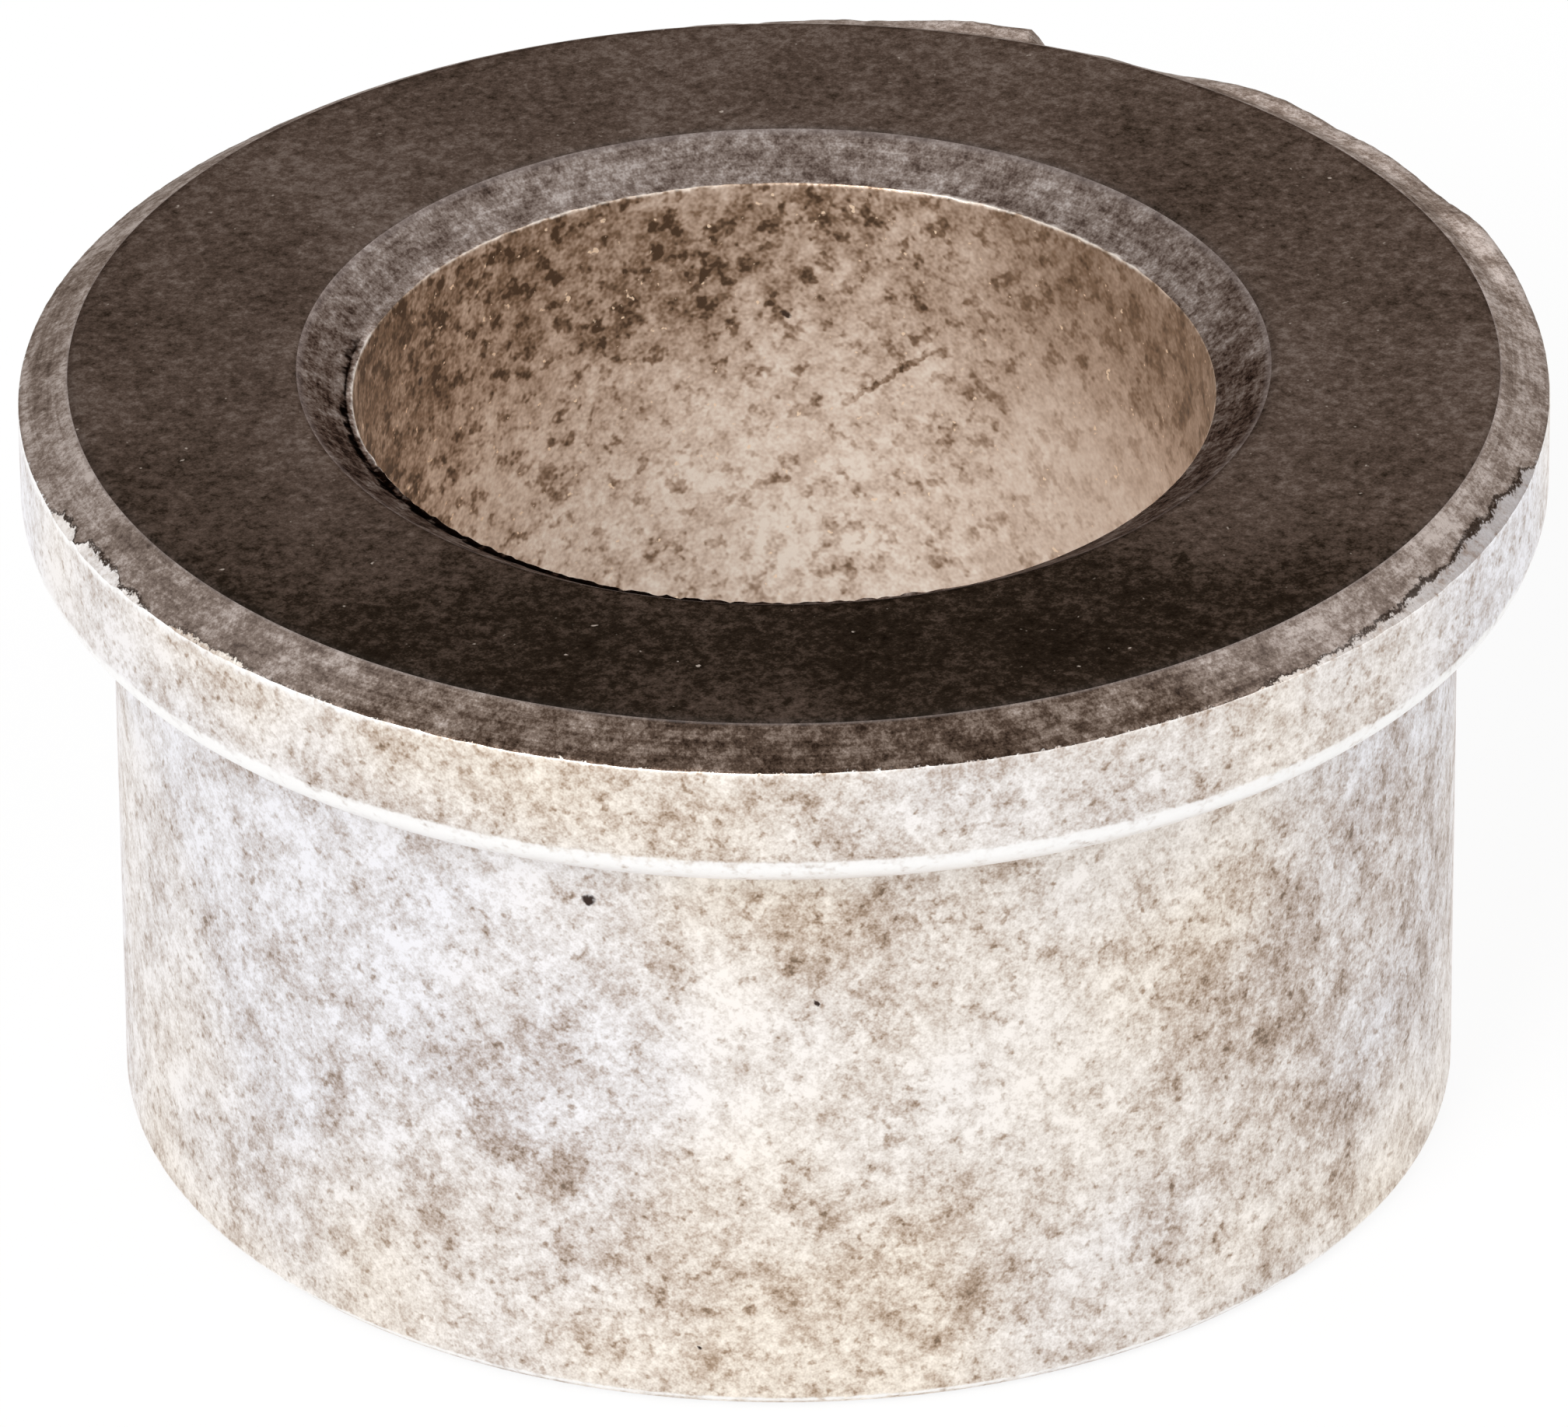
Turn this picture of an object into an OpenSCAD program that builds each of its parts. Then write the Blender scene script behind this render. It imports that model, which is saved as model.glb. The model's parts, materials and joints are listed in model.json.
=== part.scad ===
// One-piece flanged plain bearing, pressed and sintered from bronze powder and
// soaked with oil. It stands on the plain end of its sleeve with the flange up.
// The origin is the centre of that end and +Z runs up the bore. Millimetres.

/* [Bore] */
// Diameter of the running bore
bore_d = 14; // [8:0.5:24]
// Radial width of the cone at the flange end of the bore
mouth_cone_w = 0.95; // [0.3:0.05:1.2]
// Depth of that cone
mouth_cone_h = 0.6; // [0.3:0.05:1.2]
// Width and depth of the small cone at the plain end of the bore
foot_cone = 0.5; // [0.1:0.05:0.8]

/* [Sleeve] */
// Wall between the bore and the outside of the sleeve
sleeve_wall = 4; // [2.5:0.1:6]
// Length of the sleeve below the flange
sleeve_l = 10.5; // [5:0.5:25]
// Width and height of the lead-in chamfer at the plain end
lead_in = 0.2; // [0.1:0.05:0.6]

/* [Flange] */
// How far the flange stands out past the sleeve, measured on the radius
flange_reach = 1.5; // [1.2:0.1:4]
// Thickness of the flange
flange_t = 2.7; // [1.8:0.1:5]
// Radial width of the slope round the top of the flange
rim_slope_w = 0.9; // [0.2:0.05:1.2]
// Height of that slope
rim_slope_h = 0.5; // [0.2:0.05:0.9]
// Radius of the rounded lower edge of the flange
edge_round = 0.7; // [0.2:0.05:0.8]
// Fillet in the corner between the flange and the sleeve
root_fillet = 0.3; // [0.1:0.05:0.3]

/* [Hidden] */
$fn = 128;

bore_r = bore_d / 2;
sleeve_r = bore_r + sleeve_wall;
flange_r = sleeve_r + flange_reach;
seat_z = sleeve_l;
top_z = sleeve_l + flange_t;
// What the cuts run past a face, so that none ends exactly on one
past = 1;

// The blank: the sleeve with the flange on it, both with sharp corners.
module blank() {
    cylinder(r = sleeve_r, h = top_z);
    translate([0, 0, seat_z]) cylinder(r = flange_r, h = flange_t);
}

// Ring that fills the corner under the flange with a fillet.
module root_ring() {
    rotate_extrude()
        translate([sleeve_r, seat_z])
            difference() {
                translate([-root_fillet, -root_fillet])
                    square([2 * root_fillet, 2 * root_fillet]);
                translate([root_fillet, -root_fillet]) circle(r = root_fillet);
                translate([root_fillet, -2 * root_fillet])
                    square([2 * root_fillet, 4 * root_fillet]);
            }
}

// Ring that takes the sharp lower corner off the flange.
module edge_ring() {
    rotate_extrude()
        translate([flange_r - edge_round, seat_z + edge_round])
            difference() {
                translate([0, -edge_round - past])
                    square([edge_round + past, edge_round + past]);
                circle(r = edge_round);
            }
}

// Ring that cuts a slope off an outside corner at height z: w wide on the
// radius and h high. up is 1 for a top corner and -1 for a bottom corner.
module outer_slope(r, z, w, h, up) {
    rotate_extrude()
        polygon([
            [r - w, z],
            [r, z - up * h],
            [r + past, z - up * h],
            [r + past, z + up * past],
            [r - w, z + up * past]
        ]);
}

// The bore with its two cones.
module bore_cut() {
    translate([0, 0, -past]) cylinder(r = bore_r, h = top_z + 2 * past);
    cylinder(r1 = bore_r + foot_cone, r2 = bore_r, h = foot_cone);
    translate([0, 0, top_z - mouth_cone_h])
        cylinder(r1 = bore_r, r2 = bore_r + mouth_cone_w, h = mouth_cone_h);
}

module flanged_bushing() {
    color("#9c8878")
        difference() {
            union() {
                blank();
                root_ring();
            }
            edge_ring();
            outer_slope(flange_r, top_z, rim_slope_w, rim_slope_h, 1);
            outer_slope(sleeve_r, 0, lead_in, lead_in, -1);
            bore_cut();
        }
}

flanged_bushing();
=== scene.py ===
# %% [markdown]
# # A flanged bushing of sintered bronze
#
# The part is one piece: a short sleeve with a flange, pressed from bronze powder in a die, sintered,
# sized by a second press and soaked with oil. Nothing on it moves. What makes it look real is therefore
# its surface: a dark end face that no tool rubbed, a rough slope with pressing flash round the rim, and
# pale walls that the sizing tools slid over. This script builds its shape as one turned mesh and then
# gives each face its own finish.

# %% Load the model that the looks are built around
import json
import math

import bmesh
import bpy
from mathutils import Matrix, Quaternion, Vector, noise


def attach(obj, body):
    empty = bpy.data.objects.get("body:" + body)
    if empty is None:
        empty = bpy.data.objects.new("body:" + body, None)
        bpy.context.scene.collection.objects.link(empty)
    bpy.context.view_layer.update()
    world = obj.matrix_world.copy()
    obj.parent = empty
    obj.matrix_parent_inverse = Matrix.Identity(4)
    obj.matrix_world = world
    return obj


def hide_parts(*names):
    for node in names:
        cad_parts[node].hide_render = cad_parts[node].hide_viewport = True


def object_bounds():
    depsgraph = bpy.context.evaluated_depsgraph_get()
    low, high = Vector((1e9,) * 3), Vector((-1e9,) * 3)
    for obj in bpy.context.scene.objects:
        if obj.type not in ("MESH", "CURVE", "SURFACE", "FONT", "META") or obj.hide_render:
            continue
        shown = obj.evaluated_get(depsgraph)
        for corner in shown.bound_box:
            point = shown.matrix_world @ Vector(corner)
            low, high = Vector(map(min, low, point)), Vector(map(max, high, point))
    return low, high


# A millimetre in metres. Lengths in the script are in mm unless a comment says otherwise
MM = 0.001
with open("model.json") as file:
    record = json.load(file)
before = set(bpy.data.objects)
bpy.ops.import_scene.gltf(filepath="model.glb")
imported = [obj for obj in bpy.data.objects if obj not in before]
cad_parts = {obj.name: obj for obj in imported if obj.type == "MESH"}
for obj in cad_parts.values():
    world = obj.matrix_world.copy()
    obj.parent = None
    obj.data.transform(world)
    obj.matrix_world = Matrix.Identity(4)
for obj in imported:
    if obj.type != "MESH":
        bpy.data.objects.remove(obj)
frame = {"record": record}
cad_box = [list(corner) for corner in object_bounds()]
mount = {m["name"]: m for m in frame["record"]["mounts"]}
flange_r = cad_box[1][0] / MM
top_z = cad_box[1][2] / MM
bore_r = mount["bore"]["dims"]["r_mm"]
sleeve_r = mount["sleeve"]["dims"]["r_mm"]
seat_z = mount["flange_seat"]["pos_m"][2] / MM
print(f"bore {bore_r}, sleeve {sleeve_r}, flange {flange_r:.2f}, seat {seat_z:.2f}, top {top_z:.2f} mm")

# %% [markdown]
# ## The camera
#
# A small object seen from far away through a long lens shows hardly any perspective. The camera looks
# down at 30 degrees from 280 mm, and is turned by less than half a degree about its own axis. A camera
# without any perspective would be simpler, but the ellipses of face and foot would then have the same
# shape, and they don't.

# %% Camera
CAMERA_TILT = math.radians(30.39)
CAMERA_ROLL = math.radians(-0.43)
CAMERA_DISTANCE = 279.6 * MM
CAMERA_LENS = 390.4
SENSOR_WIDTH = 36
# As a share of the image's width
CAMERA_SHIFT = -0.0015
# Half the part's height, or nearly
AIM_HEIGHT = 6.53
# In metres, as the camera wants it
CLIP_START = 0.01
aim = Vector((0, 0, AIM_HEIGHT * MM))

camera_data = bpy.data.cameras.new("camera")
camera_data.lens = CAMERA_LENS
camera_data.sensor_width = SENSOR_WIDTH
camera_data.shift_x = CAMERA_SHIFT
camera_data.clip_start = CLIP_START
camera = bpy.data.objects.new("camera", camera_data)
bpy.context.collection.objects.link(camera)
away = Vector((0, -math.cos(CAMERA_TILT), math.sin(CAMERA_TILT)))
camera.location = aim + CAMERA_DISTANCE * away
turn = away.to_track_quat("Z", "Y") @ Quaternion((0, 0, 1), CAMERA_ROLL)
camera.rotation_euler = turn.to_euler()
bpy.context.scene.camera = camera
print("camera at", [round(c / MM, 1) for c in camera.location], "mm")

# %% [markdown]
# ## The section
#
# A body of revolution is drawn once, as half of its section, and spun. It could be cut from cylinders
# instead, but then each round would be a separate cut. The corners are the ones of the real part: a
# cone at each end of the bore, a slope round the top of the flange, a rounded lower flange edge, a
# fillet under it and a small lead-in chamfer at the foot. The rim stays a twentieth of a millimetre
# inside the model's box, because flash is raised on it later.

# %% Sizes that the model's box and mounts don't give
FLASH_ROOM = 0.05
# Width and height of each slope
MOUTH_CONE = (0.95, 0.6)
FOOT_CONE = (0.5, 0.5)
RIM_SLOPE = (0.85, 0.47)
LEAD_IN = (0.2, 0.2)
# Radii
EDGE_ROUND = 0.7
ROOT_FILLET = 0.3
rim_r = flange_r - FLASH_ROOM
slope_r = rim_r - RIM_SLOPE[0]
rim_z = top_z - RIM_SLOPE[1]
cone_r = bore_r + MOUTH_CONE[0]
mouth_z = top_z - MOUTH_CONE[1]
print(f"rim at {rim_r:.2f}, {rim_z:.2f}; slope from {slope_r:.2f}; cone to {cone_r:.2f} mm")

# %% Half the section as a face, corner by corner
# Each corner: its radius and height, how far it is rounded and in how many steps
corners = {
    "foot_inner": (bore_r + FOOT_CONE[0], 0, 0.08, 2),
    "bore_foot": (bore_r, FOOT_CONE[1], 0.08, 2),
    "bore_mouth": (bore_r, mouth_z, 0.05, 2),
    "face_inner": (cone_r, top_z, 0.1, 3),
    "face_outer": (slope_r, top_z, 0.12, 3),
    "rim": (rim_r, rim_z, 0.05, 2),
    "lower_edge": (rim_r, seat_z, EDGE_ROUND, 10),
    "root": (sleeve_r, seat_z, ROOT_FILLET, 5),
    "sleeve_foot": (sleeve_r, LEAD_IN[1], 0.06, 2),
    "foot_outer": (sleeve_r - LEAD_IN[0], 0, 0.06, 2),
}

shape = bmesh.new()
drawn = {name: shape.verts.new((r * MM, 0, z * MM)) for name, (r, z, _, _) in corners.items()}
shape.faces.new(drawn.values())
for name, (_, _, rounding, steps) in corners.items():
    bmesh.ops.bevel(
        shape,
        geom=[drawn[name]],
        offset=rounding * MM,
        segments=steps,
        profile=0.5,
        affect="VERTICES",
        material=-1,
    )
bmesh.ops.delete(shape, geom=list(shape.faces), context="FACES_ONLY")
print("section with", len(shape.verts), "points")

# %% Finer steps where the surface will be worked
# The longest step along the section, at each kind of place
RIM_STEP = 0.05
BURR_STEP = 0.04
CONE_STEP = 0.12
FACE_STEP = 0.3
SIDE_STEP = 0.2
PLAIN_STEP = 0.6


def step_at(r, z):
    """The longest step allowed along the section there."""
    if z > rim_z - 0.3 and r > slope_r - 0.1:
        return RIM_STEP
    if z > mouth_z - 0.05 and r < bore_r + 0.3:
        return BURR_STEP
    if z > mouth_z and r < cone_r + 0.2:
        return CONE_STEP
    if z > top_z - 0.1:
        return FACE_STEP
    if r > rim_r - 0.1:
        return SIDE_STEP
    return PLAIN_STEP


for edge in list(shape.edges):
    middle = (edge.verts[0].co + edge.verts[1].co) / 2 / MM
    cuts = math.ceil(edge.calc_length() / MM / step_at(middle.x, middle.z)) - 1
    if cuts > 0:
        bmesh.ops.subdivide_edges(shape, edges=[edge], cuts=cuts)
print("section with", len(shape.verts), "points after subdivision")

# %% Spin it
# Steps of 0.13 mm along the rim, which is fine enough for its flash
SPIN_STEPS = 600
WELD = 0.001
bmesh.ops.spin(
    shape,
    geom=list(shape.verts) + list(shape.edges),
    cent=(0, 0, 0),
    axis=(0, 0, 1),
    dvec=(0, 0, 0),
    angle=math.tau,
    steps=SPIN_STEPS,
    use_merge=True,
    use_duplicate=False,
)
bmesh.ops.remove_doubles(shape, verts=list(shape.verts), dist=WELD * MM)
bmesh.ops.recalc_face_normals(shape, faces=list(shape.faces))
print(len(shape.faces), "faces; closed:", all(e.is_manifold for e in shape.edges))

# %% [markdown]
# ## Which finish each face gets
#
# The finishes change where the tools that made the part change: the end face, the cone in it, the slope
# round the rim, the walls that slid through the sizing die, and the bore that the sizing pin burnished.
# The faces are sorted while the shape is still exact, before the edges are worn. One material with
# masks could do the same, but then each would carry the nodes of all six.

# %% Sort the faces
FINISHES = ["end_face", "rim_slope", "mouth_cone", "bore", "wall", "foot"]


def finish_at(r, z):
    """The name of the finish at that radius and height. The small margins keep each corner on one side."""
    if z < FOOT_CONE[1] - 0.02 and bore_r + 0.02 < r < sleeve_r - LEAD_IN[0] + 0.02:
        return "foot"
    if r < bore_r + 0.03 and z < mouth_z + 0.01:
        return "bore"
    if r < cone_r and z > mouth_z - 0.02:
        return "mouth_cone"
    if z > top_z - 0.03:
        return "end_face"
    if r > slope_r and z > rim_z - 0.01 and r < rim_r + 0.001:
        return "rim_slope"
    return "wall"


for face in shape.faces:
    middle = face.calc_center_median() / MM
    face.material_index = FINISHES.index(finish_at(middle.xy.length, middle.z))
    face.smooth = True
counts = {name: sum(f.material_index == i for f in shape.faces) for i, name in enumerate(FINISHES)}
print("faces per finish:", counts)

# %% [markdown]
# ## Flash, chips and burr
#
# When the die closes, metal squeezes into the gap round the punch and stands up as flash along the rim.
# Tumbling breaks it off in places and leaves a pale ledge with a crevice behind it: dirt and painted shade.
# The sizing pin leaves a thin burr round the bore in the same way. Separate little meshes would show
# seams where they meet the rim. So each is a small move of the vertices, worked out from where a vertex
# lies on the section and round the rim. Angles run anticlockwise from +X as seen from above, in
# degrees. What the colours need to know about the edges is kept on the vertices as well.

# %% Small tools for shaping
def smooth_step(low, high, value):
    """0 below low, 1 above high, and a smooth rise between them. It falls if high is under low."""
    t = min(max((value - low) / (high - low), 0), 1)
    return t * t * (3 - 2 * t)


def within(angle, start, end, fade):
    """1 between two angles, fading to 0 outside them."""
    off = abs((angle - (start + end) / 2 + 180) % 360 - 180)
    return smooth_step(fade, 0, off - (end - start) / 2)


def along(stretches, angle):
    """The largest value of the stretches that reach that angle, each a start, end, value and fade."""
    return max(value * within(angle, start, end, fade) for start, end, value, fade in stretches)


def profile(points, angle):
    """The height at an angle, from angles and heights joined by straight lines. Past the last it is 0."""
    for (a0, h0), (a1, h1) in zip(points, points[1:]):
        if a0 <= angle < a1:
            return h0 + (h1 - h0) * (angle - a0) / (a1 - a0)
    return 0.0


def grain(point, size, seed):
    """Noise of about -1 to 1, with lumps of that size."""
    return noise.fractal(point / size + Vector((seed, 0, 0)), 0.6, 2.0, 3)


print("a quarter of the way up, a smooth step is at", smooth_step(0, 1, 0.25))

# %% Flash that stands round the rim, and chips
# Angle and height of the rim over the plain corner. From 200 degrees on round to 0 it is level
FLASH = [
    (0, 0.0),
    (12, 0.08),
    (16, 0.15),
    (22, 0.2),
    (26, 0.13),
    (30, 0.09),
    (38, 0.16),
    (42, 0.13),
    (45, 0.2),
    (51, 0.17),
    (55, 0.08),
    (58, 0.0),
    (60, -0.07),
    (63, 0.0),
    (69, -0.02),
    (70, 0.21),
    (75, 0.2),
    (84, 0.09),
    (92, 0.03),
    (105, -0.02),
    (135, -0.08),
    (165, -0.02),
    (190, 0.03),
    (200, 0.0),
]
# Start and end angle, how far the ledge reaches inward in mm, and over how many degrees that fades
CHIPS = [
    (-160.5, -157.4, 0.16, 0.6),
    (-155.2, -149.8, 0.18, 0.9),
    (-147.5, -146, 0.08, 0.8),
    (-141, -134, 0.06, 1.5),
    (-51, -44, 0.06, 3.0),
    (-43, -36, 0.11, 2.0),
    (-36, -28, 0.17, 3.0),
    (-28, -20, 0.24, 3.0),
    (-20, -15, 0.15, 2.0),
]
# Start, end, half the crevice's width in mm, and fade
CREVICES = [(-161, -145, 0.022, 2), (-145, -52, 0.012, 4), (-52, -38, 0.02, 5), (-38, -17, 0.036, 6)]
# Start, end and fade of the stretch where the rim's top edge gets a broader band of painted highlight and
# wear
BROAD_WEAR_AND_HIGHLIGHT = (-180, -125, 12)
print("flash up to", max(height for _, height in FLASH), "mm;", len(CHIPS), "chips")

# %% Burr round the bore, with a painted highlight on it, and a dark line of dirt and painted shade
# Height of the burr
BURR = 0.035
# Start, end, strength and fade of each stretch
# Along these stretches the burr stands higher and its crest gets a painted highlight
BURR_AND_HIGHLIGHT_LINES = [(102, 145, 0.75, 12), (35, 68, 0.85, 10), (165, 200, 0.9, 8), (75, 95, 0.2, 8)]
# Dirt and painted shade in the groove along the bore's edge
DIRT_AND_SHADE_LINES = [(170, 262, 1.0, 12), (262, 290, 0.8, 20), (95, 165, 0.35, 10), (60, 95, 0.2, 10)]
# Where that dark line of dirt and painted shade covers the lip, which stands higher there
DIRTY_SHADED_LIP = (205, 285, 1.0, 12)
# Where the band of dirt and painted shade is wider
WIDE_DIRT_AND_SHADE = (200, 250, 1.0, 20)
print("burr", BURR, "mm high on", len(BURR_AND_HIGHLIGHT_LINES), "stretches")

# %% Room on the vertices for what the colours need to know
layers = {
    name: shape.verts.layers.float.new(name)
    for name in ("behind_ledge", "crevice", "edge_wear_and_highlight", "burr_highlight", "dirt_and_shade_line")
}
print("marks:", ", ".join(layers))

# %% How the rim is worked
# Height of the fine grain along the rim
GRIT = 0.012
# How far flash leans outward, as a share of its height
FLASH_LEAN = 0.3
# How far a chipped ledge lies below the slope
LEDGE_DROP = 0.06


def near_rim(r, z):
    """Whether that place is on the slope or just under the rim."""
    return rim_r - r < RIM_SLOPE[0] + 0.3 and rim_z - z < 0.6


def work_rim(r, z, outward, angle, marks):
    """Raises flash, drops chipped ledges and notes the marks there. Returns the new radius and height."""
    inward = rim_r - r
    below = rim_z - z
    on_rim = Vector((outward.x * rim_r, outward.y * rim_r, 0))
    ragged = grain(on_rim, 0.9, 3.0)
    fine = grain(on_rim, 0.3, 9.0)

    flash = profile(FLASH, angle % 360)
    height = flash * (1 + 0.12 * ragged) + GRIT * ragged + GRIT * fine
    raised = smooth_step(RIM_SLOPE[0] * 0.7, 0.06, inward) * smooth_step(0.5, 0.0, below)
    z += height * raised
    r += FLASH_LEAN * max(flash, 0) * raised * smooth_step(0.3, 0.0, inward)

    chip = along(CHIPS, angle)
    ledge = chip * (1 + 0.3 * grain(on_rim, 0.5, 5.0)) + GRIT * fine
    drop = LEDGE_DROP * smooth_step(0.02, 0.12, chip)
    z -= drop * smooth_step(0.03, -0.03, inward - ledge) * smooth_step(0.2, 0.0, below)

    broad = within(angle, *BROAD_WEAR_AND_HIGHLIGHT)
    marks["behind_ledge"] = inward + 0.5 * max(below, 0) - ledge
    marks["crevice"] = along(CREVICES, angle) * (1 + 0.7 * grain(on_rim, 0.7, 17.0))
    # A painted highlight along the top of the flange's side, with some wear
    marks["edge_wear_and_highlight"] = (0.6 + 0.3 * broad) * smooth_step(0.16 + 0.25 * broad, 0.0, below)
    return r, z


# %% Painted highlights on the lower edges
def highlight_lower_edges(r, z, marks):
    """Marks the flange's lower round and the lead-in at the foot for a painted highlight: the white floor
    they mirror.
    """
    down_round = (seat_z + EDGE_ROUND - z) / EDGE_ROUND
    if r > sleeve_r + 0.5 and down_round > 0:
        marks["edge_wear_and_highlight"] = smooth_step(0.0, 0.2, down_round) * smooth_step(1.0, 0.9, down_round)
    if r > bore_r + FOOT_CONE[0] + 0.1 and z < LEAD_IN[1] + 0.1:
        marks["edge_wear_and_highlight"] = 0.9 * smooth_step(LEAD_IN[1] + 0.08, LEAD_IN[1], z) * smooth_step(0.0, 0.1, z)


# %% How the bore's mouth is worked
def near_mouth(r, z):
    """Whether that place is at the edge between the bore and its cone."""
    return abs(z - mouth_z) < 0.35 and r - bore_r < 0.52


def work_mouth(r, z, point, angle, marks):
    """Raises the burr and notes where its crest gets a painted highlight and where the dark line of grime
    and painted shade lies. Returns the new height.
    """
    outward_from_bore = r - bore_r
    lip = smooth_step(0.08, 0.02, outward_from_bore) * smooth_step(-0.05, 0.0, z - mouth_z)
    line = along(BURR_AND_HIGHLIGHT_LINES, angle % 360)
    dark_lip = along([DIRTY_SHADED_LIP], angle % 360)
    z += BURR * lip * (0.4 + line + 2 * dark_lip) * (1 + 0.5 * grain(point, 0.3, 11.0))
    marks["burr_highlight"] = lip * line

    to_lip = max(smooth_step(0.04, 0.08, outward_from_bore), dark_lip)
    width = 0.17 + 0.07 * along([WIDE_DIRT_AND_SHADE], angle % 360) + 0.1 * grain(point, 0.4, 13.0)
    dark_band = to_lip * smooth_step(width + 0.08, width, outward_from_bore)
    dark_band *= smooth_step(-0.1, -0.03, z - mouth_z)
    marks["dirt_and_shade_line"] = dark_band * along(DIRT_AND_SHADE_LINES, angle % 360)
    return z


# %% Work the surface
for vert in shape.verts:
    point = vert.co / MM
    r, z = point.xy.length, point.z
    outward = point.xy / r
    angle = math.degrees(math.atan2(point.y, point.x))
    marks = dict.fromkeys(layers, 0.0)
    if near_rim(r, z):
        r, z = work_rim(r, z, outward, angle, marks)
    highlight_lower_edges(r, z, marks)
    if near_mouth(r, z):
        z = work_mouth(r, z, point, angle, marks)
    r = min(r, flange_r)
    vert.co = Vector((outward.x * r, outward.y * r, z)) * MM
    for name, value in marks.items():
        vert[layers[name]] = value
print("highest point:", round(max(v.co.z for v in shape.verts) / MM, 2), "mm")

# %% Make it an object
bushing_mesh = bpy.data.meshes.new("bushing")
shape.to_mesh(bushing_mesh)
shape.free()
bushing = bpy.data.objects.new("bushing", bushing_mesh)
bpy.context.collection.objects.link(bushing)
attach(bushing, "root")
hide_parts("flanged_bushing")
print("bushing:", len(bushing_mesh.polygons), "faces")

# %% [markdown]
# ## Tools for the finishes
#
# Every finish starts from the same metal and reads its place on the part in millimetres, so each
# pattern has a real size. The stains could be painted on an unwrapped image, but noise needs no file
# and stays sharp at any distance. With nearly equal strength in each octave, it looks like pressed
# powder, not like smoke.
#
# Powder for such parts has grains of 0.04 to 0.15 mm, and the noise reaches down to those. The pores
# between them are half as wide, which is too fine to show, so they are drawn as specks of 0.13 to 0.2
# mm.

# %% Colours and nodes
# A Mix node has sockets for every type of value, so those for colours are reached by number
FACTOR, UNDER, OVER, MIXED = 0, 6, 7, 2


def linear(hex_colour):
    """An sRGB colour such as #9c8878 as the linear RGBA that shaders take."""
    channels = [int(hex_colour[i : i + 2], 16) / 255 for i in (1, 3, 5)]
    curve = [c / 12.92 if c <= 0.04045 else ((c + 0.055) / 1.055) ** 2.4 for c in channels]
    return (*curve, 1.0)


def add(tree, kind, inputs, out=0, stops=None, **settings):
    """Adds a node with its settings, links or sets its inputs, and returns one of its outputs."""
    made = tree.nodes.new(kind)
    for name, value in settings.items():
        setattr(made, name, value)
    for name, value in inputs.items():
        if isinstance(value, bpy.types.NodeSocket):
            tree.links.new(value, made.inputs[name])
        else:
            made.inputs[name].default_value = linear(value) if isinstance(value, str) else value
    if stops:
        ramp = made.color_ramp.elements
        while len(ramp) < len(stops):
            ramp.new(0.5)
        for element, (position, colour) in zip(ramp, stops):
            element.position = position
            element.color = linear(colour)
    return made.outputs[out]


print("middle grey is", round(linear("#808080")[0], 3), "in linear light")


# %% What every finish starts from, and how it ends
def start_finish(name, roughness, metallic, mirror_tint=None):
    """A metal's material, its node tree, its shader and the place on the part in mm."""
    material = bpy.data.materials.new(name)
    material.use_nodes = True
    tree = material.node_tree
    metal = tree.nodes["Principled BSDF"]
    metal.inputs["Metallic"].default_value = metallic
    metal.inputs["Roughness"].default_value = roughness
    if mirror_tint:
        metal.inputs["Specular Tint"].default_value = (*mirror_tint, 1.0)
    place = add(tree, "ShaderNodeTexCoord", {}, out="Object")
    in_mm = add(tree, "ShaderNodeVectorMath", {0: place, "Scale": 1 / MM}, operation="SCALE")
    return material, tree, metal, in_mm


def finish_off(material, tree, metal, in_mm, colour, grain_lump, grain_depth):
    """Gives the shader its colour and raises the powder's grain as a bump, both sizes in mm."""
    tree.links.new(colour, metal.inputs["Base Color"])
    height = pattern(tree, in_mm, lump=grain_lump, octaves=3, evenness=0.8, spread=2.0, seed=7.0)
    bump = add(tree, "ShaderNodeBump", {"Height": height, "Distance": grain_depth * MM, "Strength": 1.0})
    tree.links.new(bump, metal.inputs["Normal"])
    print(material.name, "has", len(tree.nodes), "nodes")
    return material


finishes = {}

# %% Noise with a size in millimetres
# How wide a lump of the noise is at a scale of 1
NOISE_LUMP = 0.7
# The noise has a lattice, which is turned so that its lines don't run along the part's axes
LATTICE_TURN = (0.7, 0.5, 0.9)


def pattern(tree, vector, lump, octaves, evenness, spread, seed):
    """Noise around 0 with lumps of that size in mm and finer. Evenness is how strong the finer ones are."""
    skew = add(
        tree,
        "ShaderNodeVectorRotate",
        {0: vector, "Rotation": LATTICE_TURN},
        rotation_type="EULER_XYZ",
    )
    value = add(
        tree,
        "ShaderNodeTexNoise",
        {"Vector": skew, "W": seed, "Scale": NOISE_LUMP / lump, "Detail": octaves, "Roughness": evenness},
        noise_dimensions="4D",
    )
    return add(tree, "ShaderNodeMath", {0: value, 1: spread, 2: -0.5 * spread}, operation="MULTIPLY_ADD")


def specks(tree, in_mm, size, low, high, seed):
    """1 in sparse specks of that size in mm and 0 between them. A higher low and high make them rarer."""
    value = pattern(tree, in_mm, lump=size, octaves=2, evenness=0.6, spread=1.0, seed=seed)
    return add(
        tree,
        "ShaderNodeMapRange",
        {"Value": value, "From Min": low, "From Max": high},
        interpolation_type="SMOOTHSTEP",
    )


# %% Places on the part
def near(tree, in_mm, centre, reach, fade):
    """1 within reach of a point in mm, fading to 0 outside it."""
    distance = add(tree, "ShaderNodeVectorMath", {0: in_mm, 1: centre}, out="Value", operation="DISTANCE")
    return add(
        tree,
        "ShaderNodeMapRange",
        {"Value": distance, "From Min": reach, "From Max": reach + fade, "To Min": 1.0, "To Max": 0.0},
        interpolation_type="SMOOTHSTEP",
    )


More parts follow.
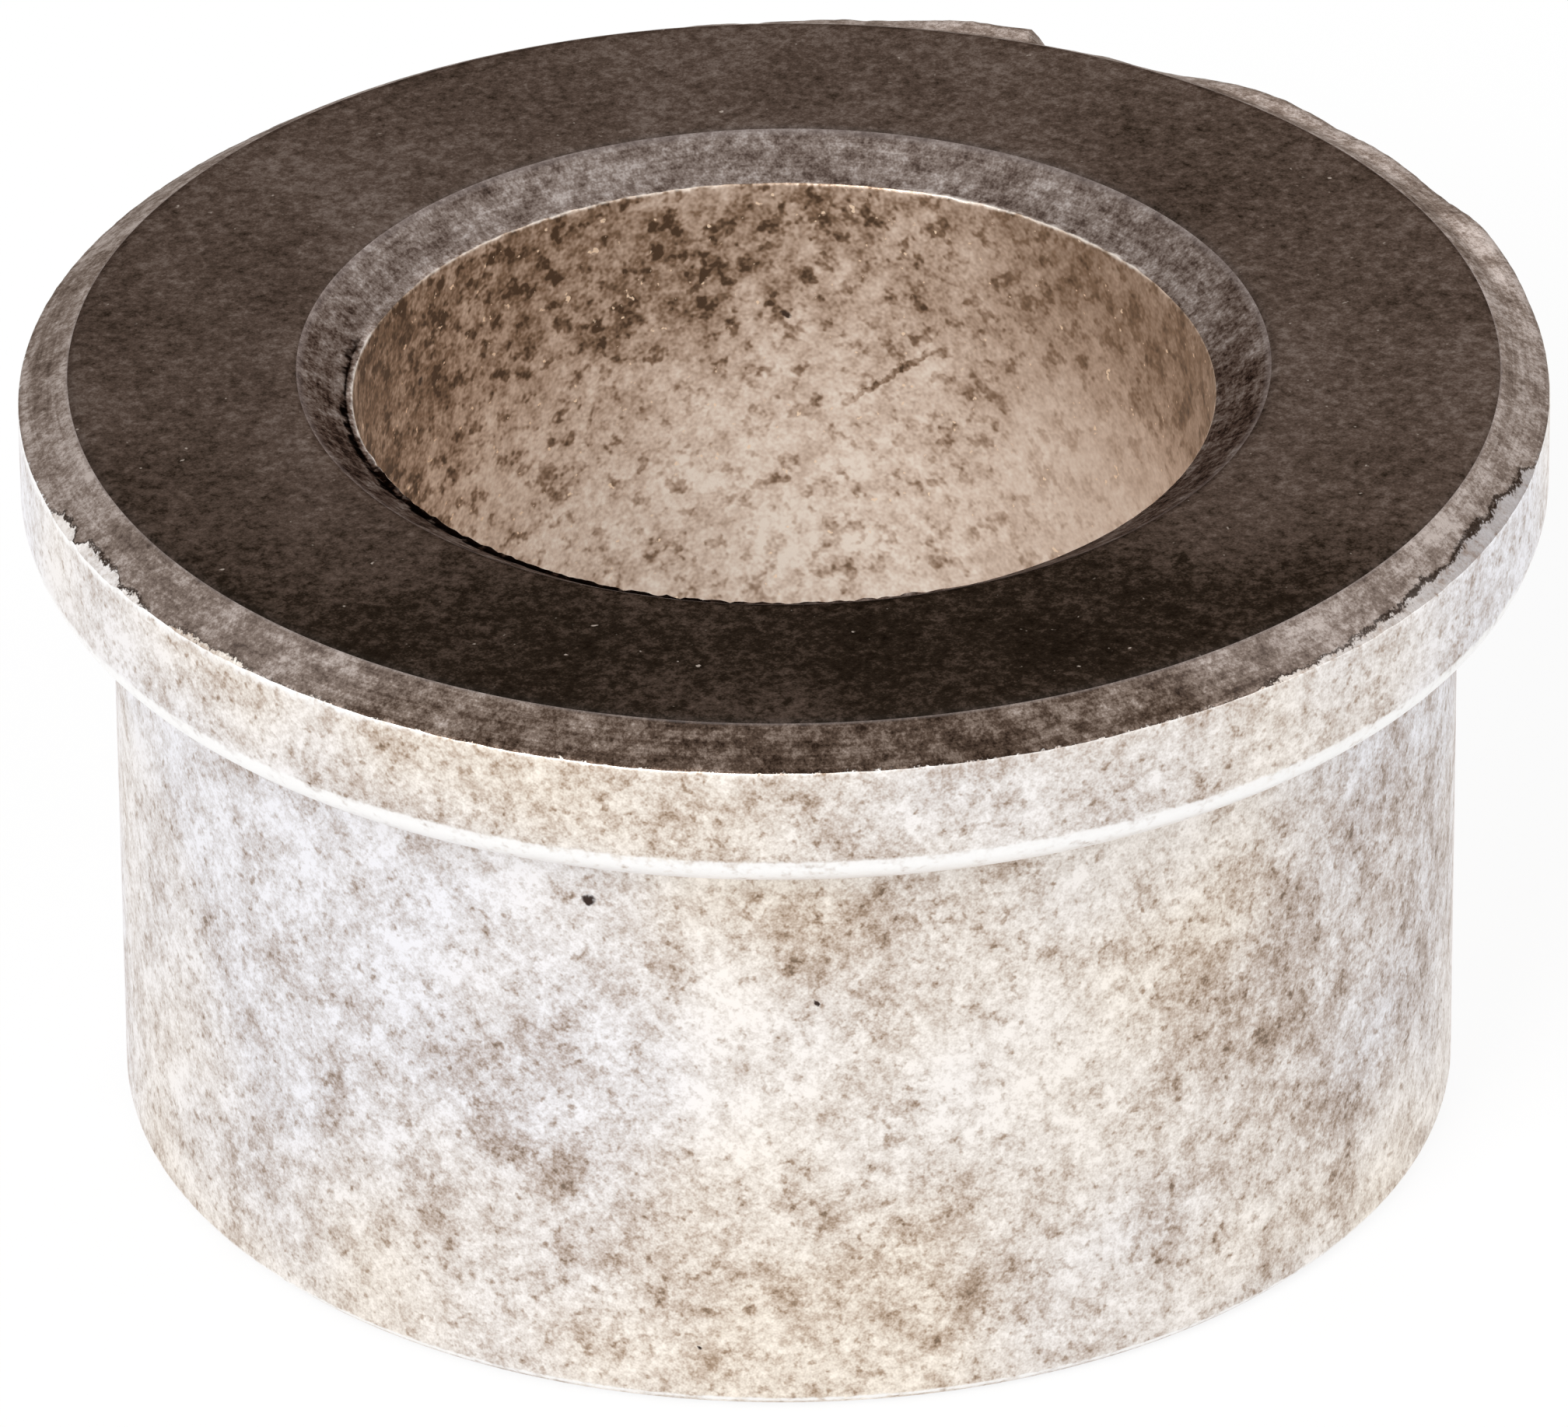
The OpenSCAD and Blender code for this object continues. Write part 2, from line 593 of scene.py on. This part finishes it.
def patches(tree, in_mm, table):
    """The places in a table of centre, reach, fade and weight, each with its weight."""
    return [(near(tree, in_mm, centre, reach, fade), weight) for centre, reach, fade, weight in table]


def gradient(tree, in_mm, axis, start, end, low=0.0, high=1.0, smooth=True):
    """Goes from low to high between two places in mm along one of the part's axes."""
    return add(
        tree,
        "ShaderNodeMapRange",
        {
            "Value": add(tree, "ShaderNodeSeparateXYZ", {0: in_mm}, out=axis),
            "From Min": start,
            "From Max": end,
            "To Min": low,
            "To Max": high,
        },
        interpolation_type="SMOOTHSTEP" if smooth else "LINEAR",
    )


def radius_at(tree, in_mm):
    """The distance from the part's axis in mm."""
    flat = add(tree, "ShaderNodeVectorMath", {0: in_mm, 1: (1, 1, 0)}, operation="MULTIPLY")
    return add(tree, "ShaderNodeVectorMath", {0: flat}, out="Value", operation="LENGTH")


def roughened(tree, in_mm, reach):
    """The place in mm, moved about by up to that reach, so that a mark gets an irregular outline."""
    moved = add(tree, "ShaderNodeTexNoise", {"Vector": in_mm, "Scale": 6.0, "Detail": 2.0}, out="Color")
    moved = add(tree, "ShaderNodeVectorMath", {0: moved, 1: (0.5, 0.5, 0.5)}, operation="SUBTRACT")
    # The noise seldom strays more than a quarter from its middle
    stretch = (4 * reach,) * 3
    return add(tree, "ShaderNodeVectorMath", {0: moved, 1: stretch, 2: in_mm}, operation="MULTIPLY_ADD")


# %% Marks that run round the part
# How fast the marks change on the way round the part, and in each mm across it
ROUND_IT = 4.0
ACROSS_IT = 9.0


def turned(tree, in_mm):
    """A vector for turned marks: slow round the part and fast across it, with no seam."""
    flat = add(tree, "ShaderNodeVectorMath", {0: in_mm, 1: (1, 1, 0)}, operation="MULTIPLY")
    heading = add(tree, "ShaderNodeVectorMath", {0: flat}, operation="NORMALIZE")
    across = add(tree, "ShaderNodeMath", {0: radius_at(tree, in_mm), 1: ACROSS_IT}, operation="MULTIPLY")
    lift = add(tree, "ShaderNodeCombineXYZ", {"Z": across})
    wide = add(tree, "ShaderNodeVectorMath", {0: heading, "Scale": ROUND_IT}, operation="SCALE")
    return add(tree, "ShaderNodeVectorMath", {0: wide, 1: lift}, operation="ADD")


# %% Putting patterns together
def total(tree, parts):
    """Adds up sockets, each times its weight."""
    value = 0.0
    for socket, weight in parts:
        value = add(tree, "ShaderNodeMath", {0: socket, 1: weight, 2: value}, operation="MULTIPLY_ADD")
    return value


def coloured(tree, value, middle, stops):
    """A pattern around 0 moved up to the middle of a ramp and given the ramp's colours."""
    value = add(tree, "ShaderNodeMath", {0: value, 1: middle}, operation="ADD")
    return add(tree, "ShaderNodeValToRGB", {"Fac": value}, stops=stops)


def pitted(tree, place, colour, pits, pit_colour):
    """Lays dark pits over a colour, from a table of centre and size in mm."""
    for centre, size in pits:
        pit = near(tree, place, centre, size, size)
        colour = add(
            tree,
            "ShaderNodeMix",
            {FACTOR: pit, UNDER: colour, OVER: pit_colour},
            out=MIXED,
            data_type="RGBA",
        )
    return colour


def line_over(tree, in_mm, colour, mark_name, line_colour, seed):
    """Lays a ragged line over a colour where an edge mark is kept on the vertices."""
    mark = add(tree, "ShaderNodeAttribute", {}, out="Fac", attribute_name=mark_name)
    uneven = pattern(tree, in_mm, lump=0.16, octaves=2, evenness=0.7, spread=1.6, seed=seed)
    share = add(
        tree,
        "ShaderNodeMapRange",
        {"Value": total(tree, [(uneven, 1.0), (mark, 1.0)]), "From Min": 0.4, "From Max": 1.0},
        interpolation_type="SMOOTHSTEP",
    )
    share = add(tree, "ShaderNodeMath", {0: share, 1: mark}, operation="MULTIPLY")
    return add(
        tree,
        "ShaderNodeMix",
        {FACTOR: share, UNDER: colour, OVER: line_colour},
        out=MIXED,
        data_type="RGBA",
    )


# %% [markdown]
# ## Sized wall
#
# The flange's side and the sleeve slid through the sizing die, which smeared the bronze bright and left
# the pores and stains brown. One colour with a gloss would look like turned steel: it is the mottling,
# from specks of a tenth of a millimetre up to stains of several, that says pressed powder. So one noise
# with many octaves goes through a ramp of five tones, and stains shift it up or down. Patches at the
# sides shift it too, as painted light and shade, and a painted cool reflection tints the sides.

# %% Where the wall is stained, and where light and shade are painted on it
WALL_STOPS = [
    (0.0, "#7d6c5c"),
    (0.2, "#a89686"),
    (0.42, "#ccc1b9"),
    (0.6, "#e2deda"),
    (0.88, "#fbfaf9"),
]
# Centre, reach and fade in mm, and weight, of each stain or painted patch of light. A positive weight is a
# bright patch
WALL_STAINS_AND_PAINTED_LIGHT = [
    ((-4.3, -10.1, 4.9), 0.6, 2.2, -0.1),
    ((-2.0, -10.8, 2.2), 1.0, 2.5, -0.1),
    ((2.6, -10.7, 2.6), 0.8, 2.4, -0.1),
    ((0.6, -11.0, 9.2), 0.6, 2.0, -0.1),
    ((7.4, -8.1, 6.4), 0.6, 2.2, -0.1),
    # Painted shade: the sleeve's right side is darker, as the light falls
    ((9.6, -5.4, 5.5), 2.0, 4.0, -0.14),
    ((0.0, -12.5, 11.6), 3.0, 5.0, -0.05),
    ((-1.2, -10.9, 7.0), 1.0, 2.2, 0.12),
    ((-6.0, -9.2, 8.0), 1.0, 2.2, 0.1),
    ((3.6, -10.4, 6.0), 0.8, 2.0, 0.1),
    # Painted highlights: the left of the sleeve and both sides of the flange are lighter, as the light
    # falls
    ((-10.6, -3.0, 6.0), 2.0, 4.0, 0.04),
    ((-12.0, -3.5, 11.6), 2.0, 4.0, 0.14),
    ((12.2, -2.5, 11.6), 1.5, 3.0, 0.06),
]
# In the same way, where the metal is cooler in colour, with a negative weight, and warmer, with a positive
# one.
# The two at the sides are a painted cool reflection of the pale room at grazing angles. The other two are
# where less oil soaked through, so it is cooler, and where more did, so it is warmer
OIL_AND_REFLECTION_TINTS = [
    ((-11.2, -3.5, 7.0), 5.0, 4.0, -0.45),
    ((11.2, -3.5, 7.0), 3.5, 4.0, -0.45),
    ((-4.0, -10.2, 8.0), 1.5, 3.0, -0.3),
    ((0.0, -11.5, 1.5), 2.0, 4.0, 0.3),
]
# Where the metal lies between the coolest colour at 0 and the warmest at 1
USUAL_WARMTH = 0.55
# Centre and size in mm
WALL_PITS = [((-3.15, -10.54, 9.29), 0.06), ((0.43, -10.99, 7.66), 0.035), ((-1.46, -10.9, 1.15), 0.035)]
print(len(WALL_STAINS_AND_PAINTED_LIGHT), "stains and", len(WALL_PITS), "pits on the wall")


# %% Sized wall
def wall_colour(tree, in_mm):
    """Smeared bright bronze with brown pores and stains. The ledge on the rim has it too."""
    powder = pattern(tree, in_mm, lump=0.8, octaves=5, evenness=1.0, spread=2.6, seed=0.0)
    # Pores of 0.13 mm, twice as coarse as the real ones
    pores = specks(tree, in_mm, size=0.13, low=0.04, high=0.2, seed=31.0)
    value = total(tree, patches(tree, in_mm, WALL_STAINS_AND_PAINTED_LIGHT) + [(powder, 1.0), (pores, -0.28)])
    colour = coloured(tree, value, middle=0.63, stops=WALL_STOPS)
    oil = pattern(tree, in_mm, lump=5.0, octaves=2, evenness=0.5, spread=2.5, seed=21.0)
    warm = total(tree, patches(tree, in_mm, OIL_AND_REFLECTION_TINTS) + [(oil, 1.0)])
    warm = add(tree, "ShaderNodeMath", {0: warm, 1: USUAL_WARMTH}, operation="ADD", use_clamp=True)
    tint = add(
        tree,
        "ShaderNodeMix",
        {FACTOR: warm, UNDER: "#f4f4f9", OVER: "#fff7ec"},
        out=MIXED,
        data_type="RGBA",
    )
    colour = add(
        tree,
        "ShaderNodeMix",
        {FACTOR: 1.0, UNDER: colour, OVER: tint},
        out=MIXED,
        data_type="RGBA",
        blend_type="MULTIPLY",
    )
    return pitted(tree, roughened(tree, in_mm, reach=0.06), colour, WALL_PITS, "#3a2c26")


# Sintered bronze, smeared by a die: a pale satin metal, painted white along its edges as highlight and wear
material, tree, metal, in_mm = start_finish("sized_sintered_bronze", roughness=0.45, metallic=0.8)
# The white line on the edges is a painted highlight and a painted reflection of the floor, with some wear
# on the rim
colour = line_over(tree, in_mm, wall_colour(tree, in_mm), "edge_wear_and_highlight", "#fcfbfa", seed=4.0)
finishes["wall"] = finish_off(material, tree, metal, in_mm, colour, grain_lump=0.1, grain_depth=0.006)

# %% [markdown]
# ## Dark end face: oil, and painted shade
#
# No tool slid over this face, so it keeps its open pores. Oil and a thin oxide make it brown-black, and
# its darkness is partly painted shade, standing in for dark surroundings that such a face mirrors. Towards
# the back it is painted lighter, a painted sheen. A black paint would be just as dark but would mirror the
# room in white. A metal with a dark colour and a dark tint at grazing angles stays dark from every side.

# %% Dark end face: oil, and painted shade
# Sintered bronze under oil and oxide, darkened further by painted shade: fine-grained and half matt, with a
# few bare glints
material, tree, metal, in_mm = start_finish(
    "oil_dark_and_shaded_sintered_bronze", roughness=0.5, metallic=1.0, mirror_tint=(0.3, 0.28, 0.26)
)
# Painted sheen: darker at the front and lighter towards the back, as the reflection would fall
painted_sheen_to_back = gradient(tree, in_mm, "Y", -10.0, -2.0, low=-0.19, high=0.08)
clouds = pattern(tree, in_mm, lump=2.6, octaves=2, evenness=0.7, spread=0.5, seed=2.0)
powder = pattern(tree, in_mm, lump=0.18, octaves=3, evenness=1.0, spread=1.15, seed=1.0)
value = total(tree, [(powder, 1.0), (clouds, 1.0), (painted_sheen_to_back, 1.0)])
DARK_STOPS = [(0.0, "#1a1511"), (0.3, "#2b2520"), (0.6, "#4f443e"), (1.0, "#776c66")]
colour = coloured(tree, value, middle=0.5, stops=DARK_STOPS)
# The bare tips of the highest grains, two to three times as coarse as the real ones
bare = specks(tree, in_mm, size=0.14, low=0.2, high=0.27, seed=3.0)
colour = add(
    tree,
    "ShaderNodeMix",
    {FACTOR: bare, UNDER: colour, OVER: "#948a82"},
    out=MIXED,
    data_type="RGBA",
)
finishes["end_face"] = finish_off(material, tree, metal, in_mm, colour, grain_lump=0.09, grain_depth=0.006)

# %% [markdown]
# ## Rough slope
#
# The punch formed the slope and it was only rubbed since: grainy, with marks that run round the part.
# Outside the crevice, where flash broke away, the metal is as pale as the wall, and painted darker at
# the right as painted shade. The ledge could be a part of the mesh with its own material, but its torn
# outline is finer than the mesh. So the mesh keeps only how far each point lies behind it, and noise
# makes that ragged.

# %% Rough slope
# Sintered bronze, punched and rubbed: brown-grey, coarser than the face, with faint rings
material, tree, metal, in_mm = start_finish(
    "rubbed_sintered_bronze", roughness=0.5, metallic=1.0, mirror_tint=(0.4, 0.38, 0.36)
)
powder = pattern(tree, in_mm, lump=0.6, octaves=5, evenness=1.0, spread=2.6, seed=5.0)
streaks = pattern(tree, turned(tree, in_mm), lump=1.0, octaves=3, evenness=0.8, spread=1.8, seed=6.0)
side = gradient(tree, in_mm, "Y", -12.4, -9.0, low=-0.2, high=0.16)
value = total(tree, [(powder, 1.0), (streaks, 0.5), (side, 1.0)])
SLOPE_STOPS = [(0.0, "#2b2019"), (0.3, "#54453b"), (0.6, "#827369"), (1.0, "#c0b4ad")]
colour = coloured(tree, value, middle=0.5, stops=SLOPE_STOPS)
greyer = add(tree, "ShaderNodeMath", {0: side, 1: 1.0}, operation="MULTIPLY", use_clamp=True)
colour = add(
    tree,
    "ShaderNodeMix",
    {FACTOR: greyer, UNDER: colour, OVER: "#8a807e"},
    out=MIXED,
    data_type="RGBA",
)
rubbed_edge = add(
    tree,
    "ShaderNodeMapRange",
    {
        "Value": radius_at(tree, in_mm),
        "From Min": slope_r + 0.03,
        "From Max": slope_r + 0.09,
        "To Min": 0.5,
        "To Max": 0.0,
    },
)
colour = add(
    tree,
    "ShaderNodeMix",
    {FACTOR: rubbed_edge, UNDER: colour, OVER: "#8b8280"},
    out=MIXED,
    data_type="RGBA",
)

print("slope coloured, without its ledge:", len(tree.nodes), "nodes")

# %% The torn ledge and the crevice behind it
behind = add(tree, "ShaderNodeAttribute", {}, out="Fac", attribute_name="behind_ledge")
torn_outline = pattern(tree, in_mm, lump=0.16, octaves=3, evenness=0.9, spread=0.32, seed=8.0)
behind = add(tree, "ShaderNodeMath", {0: behind, 1: torn_outline}, operation="ADD")
broken = add(tree, "ShaderNodeMapRange", {"Value": behind, "From Min": 0.012, "From Max": -0.012})
# Painted shade: the ledge is darker towards the right, where the key lamp would glare on it
painted_shade_to_right = gradient(tree, in_mm, "X", 4.0, 11.0, low=0.1, high=0.6, smooth=False)
ledge_colour = add(
    tree,
    "ShaderNodeMix",
    {FACTOR: painted_shade_to_right, UNDER: wall_colour(tree, in_mm), OVER: "#7d7069"},
    out=MIXED,
    data_type="RGBA",
)
colour = add(
    tree,
    "ShaderNodeMix",
    {FACTOR: broken, UNDER: colour, OVER: ledge_colour},
    out=MIXED,
    data_type="RGBA",
)
half_width = add(tree, "ShaderNodeAttribute", {}, out="Fac", attribute_name="crevice")
from_middle = add(tree, "ShaderNodeMath", {0: behind, 1: half_width}, operation="SUBTRACT")
from_middle = add(tree, "ShaderNodeMath", {0: from_middle}, operation="ABSOLUTE")
depth = add(tree, "ShaderNodeMath", {0: half_width, 1: from_middle}, operation="SUBTRACT")
# The crevice is painted dark: dirt, and painted shade in the recess
dark = add(
    tree,
    "ShaderNodeMapRange",
    {"Value": depth, "From Min": -0.015, "From Max": 0.02, "To Max": 0.85},
)
colour = add(
    tree,
    "ShaderNodeMix",
    {FACTOR: dark, UNDER: colour, OVER: "#241a14"},
    out=MIXED,
    data_type="RGBA",
)
finishes["rim_slope"] = finish_off(material, tree, metal, in_mm, colour, grain_lump=0.12, grain_depth=0.012)

# %% [markdown]
# ## Mouth cone
#
# The cone that leads into the bore was coined by the sizing pin's shoulder: greyer than the face, with
# fine marks round it. Its outer edge is rubbed a little brighter. Along the bore's edge, the burr's crest
# gets a painted highlight, and a dark line of dirt and painted shade lies in the groove before it. Marks
# kept on the vertices say where, and noise frays them.

# %% Mouth cone
# Sintered bronze, coined: grey and half bright, with rings of fine scratches
material, tree, metal, in_mm = start_finish(
    "coined_sintered_bronze", roughness=0.45, metallic=1.0, mirror_tint=(0.25, 0.24, 0.23)
)
powder = pattern(tree, in_mm, lump=0.4, octaves=4, evenness=1.0, spread=2.6, seed=8.0)
streaks = pattern(tree, turned(tree, in_mm), lump=1.0, octaves=3, evenness=0.8, spread=1.4, seed=9.0)
# Darker towards the front, lighter towards the back
darker_to_front = gradient(tree, in_mm, "Y", -2.0, 4.5, low=-0.16, high=0.04)
value = total(tree, [(powder, 1.0), (streaks, 0.7), (darker_to_front, 1.0)])
CONE_STOPS = [(0.0, "#332924"), (0.3, "#5a4c45"), (0.6, "#7f726b"), (1.0, "#aea49f")]
colour = coloured(tree, value, middle=0.5, stops=CONE_STOPS)
outer_edge = add(
    tree,
    "ShaderNodeMapRange",
    {
        "Value": radius_at(tree, in_mm),
        "From Min": cone_r - 0.16,
        "From Max": cone_r - 0.03,
        "To Min": 0.0,
        "To Max": 0.45,
    },
)
colour = add(
    tree,
    "ShaderNodeMix",
    {FACTOR: outer_edge, UNDER: colour, OVER: "#857b79"},
    out=MIXED,
    data_type="RGBA",
)
# A painted highlight on the burr's crest, then a dark line of dirt and painted shade along the bore's edge
colour = line_over(tree, in_mm, colour, "burr_highlight", "#d8cfc8", seed=14.0)
colour = line_over(tree, in_mm, colour, "dirt_and_shade_line", "#120c09", seed=16.0)
finishes["mouth_cone"] = finish_off(material, tree, metal, in_mm, colour, grain_lump=0.1, grain_depth=0.008)

# %% [markdown]
# ## Burnished bore
#
# The sizing pin burnished the bore. Brown clusters of open pores stay, more of them near the mouth and
# to the left, and one scratch crosses the back. The clusters could be spots at random places, but spots
# all look alike. A noise that is dark only at its lowest values gives clusters of every size.

# %% Where the bore is stained and scratched
# Centre, reach and fade in mm, and weight, as on the wall
BORE_STAINS = [
    ((-4.2, 5.6, 11.0), 0.8, 2.6, -0.2),
    ((-6.6, 2.2, 10.6), 1.2, 2.6, -0.16),
    ((-1.5, 6.8, 10.8), 0.5, 1.8, -0.16),
    ((5.2, 4.7, 11.4), 0.6, 2.4, -0.16),
    ((6.8, 1.5, 11.0), 0.6, 2.6, -0.12),
    ((0.5, 7.0, 7.6), 1.0, 2.6, 0.12),
    ((5.6, 4.2, 8.4), 1.2, 2.4, 0.1),
    ((-7.0, 0.5, 9.5), 2.0, 3.5, -0.14),
    ((7.0, 0.5, 9.5), 2.0, 3.5, -0.1),
    ((0.0, 7.0, 4.0), 1.5, 3.0, 0.08),
]
BORE_STOPS = [(0.0, "#54402f"), (0.25, "#8f7660"), (0.5, "#c6b09e"), (0.75, "#e6d5c6"), (1.0, "#f9efe3")]
BORE_PITS = [((0.04, 7.0, 10.15), 0.05), ((-6.0, 3.6, 10.8), 0.05)]
# The scratch's middle in mm, and the direction across it
SCRATCH_MIDDLE = (1.8, 6.77, 9.08)
SCRATCH_ACROSS = (-0.605, 0.163, 0.781)
print(len(BORE_STAINS), "stains in the bore")

# %% Burnished bore
# Sintered bronze, burnished by a pin: warm, smooth and satin, with brown pores and tiny bright grains
material, tree, metal, in_mm = start_finish("burnished_sintered_bronze", roughness=0.42, metallic=0.6)
powder = pattern(tree, in_mm, lump=0.7, octaves=4, evenness=1.0, spread=2.4, seed=12.0)
# Pores run together into clusters here, and are drawn at 0.2 mm
pores = specks(tree, in_mm, size=0.2, low=0.0, high=0.15, seed=33.0)
calmer = gradient(tree, in_mm, "X", 1.5, 5.5, low=1.0, high=0.5)
mottled = total(tree, [(powder, 0.9), (pores, -0.36)])

uneven = roughened(tree, in_mm, reach=0.06)
across = add(tree, "ShaderNodeVectorMath", {0: uneven, 1: SCRATCH_MIDDLE}, operation="SUBTRACT")
across = add(
    tree,
    "ShaderNodeVectorMath",
    {0: across, 1: SCRATCH_ACROSS},
    out="Value",
    operation="DOT_PRODUCT",
)
across = add(tree, "ShaderNodeMath", {0: across}, operation="ABSOLUTE")
scratch = add(tree, "ShaderNodeMapRange", {"Value": across, "From Min": 0.07, "From Max": 0.03})
half_length = near(tree, uneven, SCRATCH_MIDDLE, reach=0.7, fade=0.3)
scratch = add(tree, "ShaderNodeMath", {0: scratch, 1: half_length}, operation="MULTIPLY")

mouth = gradient(tree, in_mm, "Z", 8.0, 12.4)
stains = patches(tree, in_mm, BORE_STAINS)
value = total(tree, stains + [(mottled, calmer), (scratch, -0.45), (mouth, -0.2)])
colour = coloured(tree, value, middle=0.69, stops=BORE_STOPS)
colour = pitted(tree, uneven, colour, BORE_PITS, "#46352a")
# Grains that the pin polished, at least twice as coarse as the real ones
sparkle = specks(tree, in_mm, size=0.12, low=0.17, high=0.23, seed=17.0)
colour = add(
    tree,
    "ShaderNodeMix",
    {FACTOR: sparkle, UNDER: colour, OVER: "#ffe9cf"},
    out=MIXED,
    data_type="RGBA",
)
# The same painted highlight on the burr's crest, seen from the bore
colour = line_over(tree, in_mm, colour, "burr_highlight", "#e0d6cc", seed=14.0)
finishes["bore"] = finish_off(material, tree, metal, in_mm, colour, grain_lump=0.1, grain_depth=0.005)

# %% [markdown]
# ## Plain end
#
# The end that the part stands on, and the cone in it, were pressed but rubbed by nothing since. They
# get the same powder in middle browns, with no stains of their own.

# %% Plain end
# Sintered bronze, as pressed: an even, dull brown-grey
material, tree, metal, in_mm = start_finish("plain_end_sintered_bronze", roughness=0.5, metallic=1.0)
value = pattern(tree, in_mm, lump=1.6, octaves=6, evenness=0.95, spread=2.6, seed=15.0)
colour = coloured(tree, value, middle=0.5, stops=[(0.0, "#3d322b"), (0.4, "#77695f"), (1.0, "#b0a49b")])
finishes["foot"] = finish_off(material, tree, metal, in_mm, colour, grain_lump=0.1, grain_depth=0.008)

# %% Give each face its finish
for name in FINISHES:
    bushing_mesh.materials.append(finishes[name])
print("finishes:", [m.name for m in bushing_mesh.materials])

# %% [markdown]
# ## Floor and light
#
# A white sweep of paper and a white room give metal something pale to mirror, and three large soft
# lamps shape it. Small lamps would put hard glints on every grain. The paper could be plain matt white,
# but then it would be grey wherever the lamps are weak. So it is a mixture of matt white, which takes
# the soft shadow, and a white that rays from the camera and mirrored rays see as plain white.

# %% What sees plain white
def seen_directly(tree):
    """1 for rays from the camera, mirrored rays and those through glass, and 0 for soft light."""
    rays = tree.nodes.new("ShaderNodeLightPath").outputs
    camera_ray, mirrored_ray = rays["Is Camera Ray"], rays["Is Glossy Ray"]
    seen = add(tree, "ShaderNodeMath", {0: camera_ray, 1: mirrored_ray}, operation="ADD")
    return add(
        tree,
        "ShaderNodeMath",
        {0: seen, 1: rays["Is Transmission Ray"]},
        operation="ADD",
        use_clamp=True,
    )


# %% Floor
# Half its width, in metres
FLOOR_SIZE = 1.0
# It lies a little under the foot, so that the two don't share a plane
FLOOR_DROP = 0.02
SEEN_WHITE = 0.88
floor_shape = bmesh.new()
bmesh.ops.create_grid(floor_shape, x_segments=1, y_segments=1, size=FLOOR_SIZE)
floor_mesh = bpy.data.meshes.new("floor")
floor_shape.to_mesh(floor_mesh)
floor_shape.free()
floor_mesh.transform(Matrix.Translation((0, 0, -FLOOR_DROP * MM)))
floor = bpy.data.objects.new("floor", floor_mesh)
bpy.context.collection.objects.link(floor)

# Paper: matt, with hardly a shadow, and plain white to the eye and in mirrored rays
paper = bpy.data.materials.new("white_paper")
paper.use_nodes = True
tree = paper.node_tree
tree.nodes.clear()
share = add(tree, "ShaderNodeMath", {0: seen_directly(tree), 1: SEEN_WHITE}, operation="MULTIPLY")
matt = add(tree, "ShaderNodeBsdfDiffuse", {"Color": "#f4f4f4"})
white = add(tree, "ShaderNodeEmission", {"Color": "#ffffff", "Strength": 1.0})
both = add(tree, "ShaderNodeMixShader", {0: share, 1: matt, 2: white})
paper_out = tree.nodes.new("ShaderNodeOutputMaterial")
tree.links.new(both, paper_out.inputs["Surface"])
floor_mesh.materials.append(paper)
print("floor of", 2 * FLOOR_SIZE, "m")

# %% White room
ROOM_LIGHT = 0.6
world = bpy.data.worlds.new("studio")
bpy.context.scene.world = world
world.use_nodes = True
tree = world.node_tree
tree.nodes.clear()
level = add(tree, "ShaderNodeMapRange", {"Value": seen_directly(tree), "To Min": ROOM_LIGHT, "To Max": 1.0})
sky = add(tree, "ShaderNodeBackground", {"Color": "#ffffff", "Strength": level})
world_out = tree.nodes.new("ShaderNodeOutputWorld")
tree.links.new(sky, world_out.inputs["Surface"])
print("room lights the part at", ROOM_LIGHT)

# %% Lamps
# Place and width in mm, and power in watts
LAMPS = {
    "key": ((-220, -400, 330), 260, 2.2),
    "fill": ((380, -120, 300), 300, 0.4),
    "back": ((60, 380, 300), 240, 0.3),
}
for name, (place, size, power) in LAMPS.items():
    lamp_data = bpy.data.lights.new(name, "AREA")
    lamp_data.shape = "DISK"
    lamp_data.size = size * MM
    lamp_data.energy = power
    lamp = bpy.data.objects.new(name, lamp_data)
    lamp.location = Vector(place) * MM
    lamp.rotation_euler = (lamp.location - aim).to_track_quat("Z", "Y").to_euler()
    bpy.context.collection.objects.link(lamp)

bpy.context.scene.view_settings.view_transform = "Standard"
print("lamps:", ", ".join(LAMPS))
